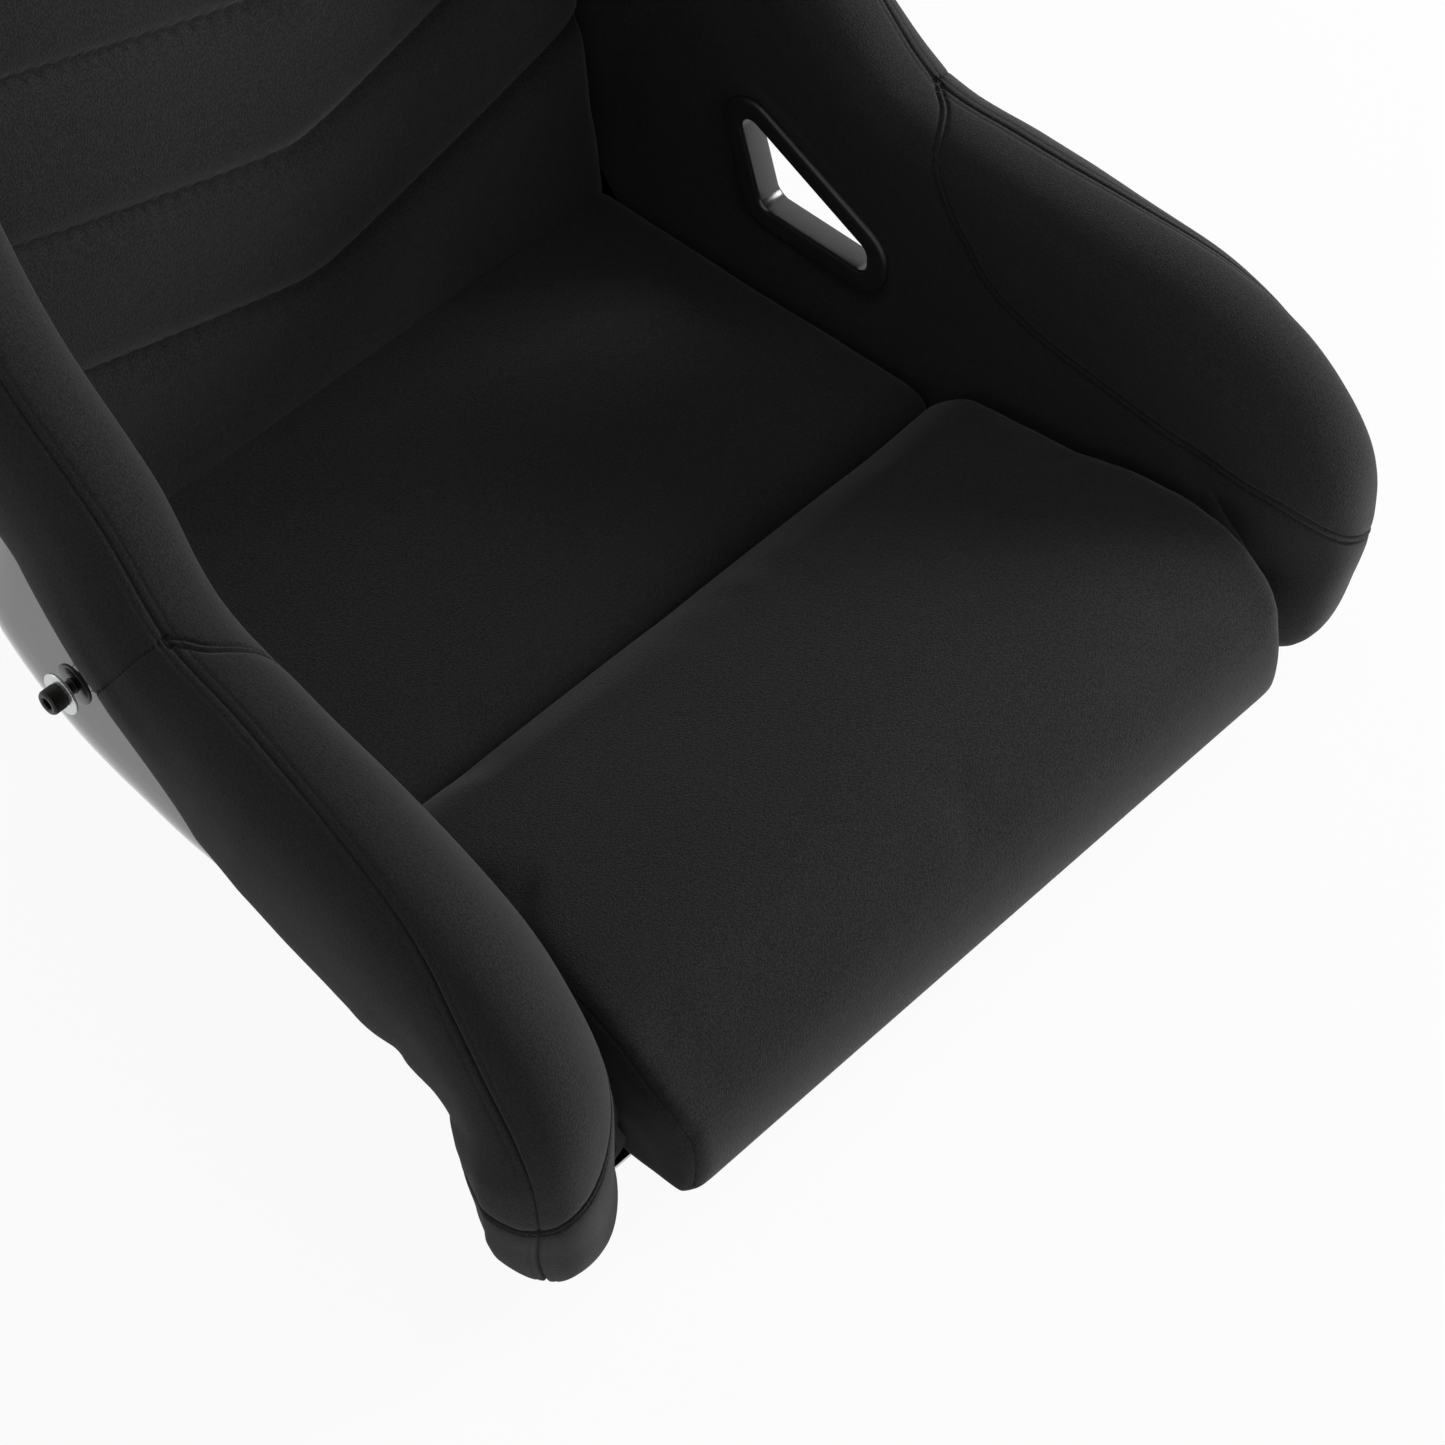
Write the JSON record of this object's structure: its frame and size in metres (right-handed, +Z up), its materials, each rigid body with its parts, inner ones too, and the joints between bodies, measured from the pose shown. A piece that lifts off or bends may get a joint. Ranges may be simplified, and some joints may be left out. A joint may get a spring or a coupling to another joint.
{
  "type": "racing bucket seat",
  "caption": "Fixed-back bucket seat: moulded laminate shell, fabric bolster rolls, lift-out cushions, belt openings and side bolts.",
  "frame": {"origin": "on the shell's flat underside, on the middle plane, 116 mm in front of the rear side bolts", "axes": "+Z up out of the pan, -Y the way the driver faces, +X across to the side on the right when seen from behind the camera at azimuth 0"},
  "size_m": [0.583, 0.635, 0.8916],
  "materials": {
    "laminate": "gloss gelcoat",
    "roll_fabric": "fine matte knit",
    "liner_fabric": "fine matte knit",
    "pad_fabric": "fine matte knit",
    "foam": "open-cell foam",
    "strip": "hook and loop tape",
    "bezel": "fine grain moulded",
    "insert_steel": "zinc plated",
    "black_bolt": "black oxide",
    "bright_washer": "bright zinc plated",
    "black_washer": "moulded nylon"
  },
  "bodies": {
    "seat": {"shell": "laminate", "leg_bolster_right": "roll_fabric", "leg_bolster_left": "roll_fabric", "torso_wing_right": "roll_fabric", "torso_wing_left": "roll_fabric", "shoulder_roll_right": "roll_fabric", "shoulder_roll_left": "roll_fabric", "head_roll": "roll_fabric", "hip_liner_right": "liner_fabric", "hip_liner_left": "liner_fabric", "torso_liner_right": "liner_fabric", "torso_liner_left": "liner_fabric", "upper_panel": "liner_fabric", "head_pad": "pad_fabric", "back_loops": "strip", "pan_loops": "strip", "lap_bezel_right": "bezel", "lap_bezel_left": "bezel", "shoulder_bezels": "bezel", "shoulder_rings": "bezel", "side_inserts": "insert_steel"},
    "back_pad": {"back_pad_topper": "pad_fabric", "back_pad_core": "foam", "back_pad_hooks": "strip"},
    "rear_pad": {"rear_pad_topper": "pad_fabric", "rear_pad_core": "foam", "rear_pad_hooks": "strip"},
    "thigh_pad": {"thigh_pad_cover": "pad_fabric", "thigh_pad_core": "foam", "thigh_pad_hooks": "strip"},
    "bolt_rear_right": {"bolt_rear_right": "black_bolt", "flat_washer_rear_right": "bright_washer"},
    "spacer_rear_right": {"black_washer_rear_right": "black_washer"},
    "bolt_rear_left": {"bolt_rear_left": "black_bolt", "flat_washer_rear_left": "bright_washer"},
    "spacer_rear_left": {"black_washer_rear_left": "black_washer"},
    "bolt_front_right": {"bolt_front_right": "black_bolt", "flat_washer_front_right": "bright_washer"},
    "spacer_front_right": {"black_washer_front_right": "black_washer"},
    "bolt_front_left": {"bolt_front_left": "black_bolt", "flat_washer_front_left": "bright_washer"},
    "spacer_front_left": {"black_washer_front_left": "black_washer"}
  },
  "joints": [
    {"name": "back_pad_lift", "type": "slide", "parent": "seat", "child": "back_pad", "axis": [0, -0.7071, 0.7071], "range_m": [0, 0.08]},
    {"name": "rear_pad_lift", "type": "slide", "parent": "seat", "child": "rear_pad", "axis": [0, 0, 1], "range_m": [0, 0.06]},
    {"name": "thigh_pad_lift", "type": "slide", "parent": "seat", "child": "thigh_pad", "axis": [0, 0, 1], "range_m": [0, 0.06]},
    {"name": "bolt_drive_rear_right", "type": "slide", "parent": "seat", "child": "bolt_rear_right", "axis": [-1, 0, 0], "range_m": [0, 0.0092]},
    {"name": "spacer_slide_rear_right", "type": "slide", "parent": "seat", "child": "spacer_rear_right", "axis": [-1, 0, 0], "range_m": [0, 0.0033]},
    {"name": "bolt_drive_rear_left", "type": "slide", "parent": "seat", "child": "bolt_rear_left", "axis": [1, 0, 0], "range_m": [0, 0.0092]},
    {"name": "spacer_slide_rear_left", "type": "slide", "parent": "seat", "child": "spacer_rear_left", "axis": [1, 0, 0], "range_m": [0, 0.0033]},
    {"name": "bolt_drive_front_right", "type": "slide", "parent": "seat", "child": "bolt_front_right", "axis": [-1, 0, 0], "range_m": [0, 0.0092]},
    {"name": "spacer_slide_front_right", "type": "slide", "parent": "seat", "child": "spacer_front_right", "axis": [-1, 0, 0], "range_m": [0, 0.0033]},
    {"name": "bolt_drive_front_left", "type": "slide", "parent": "seat", "child": "bolt_front_left", "axis": [1, 0, 0], "range_m": [0, 0.0092]},
    {"name": "spacer_slide_front_left", "type": "slide", "parent": "seat", "child": "spacer_front_left", "axis": [1, 0, 0], "range_m": [0, 0.0033]}
  ],
  "couplings": [
    {"joint": "spacer_slide_rear_right", "follows": "bolt_drive_rear_right", "ratio": 0.35869},
    {"joint": "spacer_slide_rear_left", "follows": "bolt_drive_rear_left", "ratio": 0.35869},
    {"joint": "spacer_slide_front_right", "follows": "bolt_drive_front_right", "ratio": 0.35869},
    {"joint": "spacer_slide_front_left", "follows": "bolt_drive_front_left", "ratio": 0.35869}
  ]
}
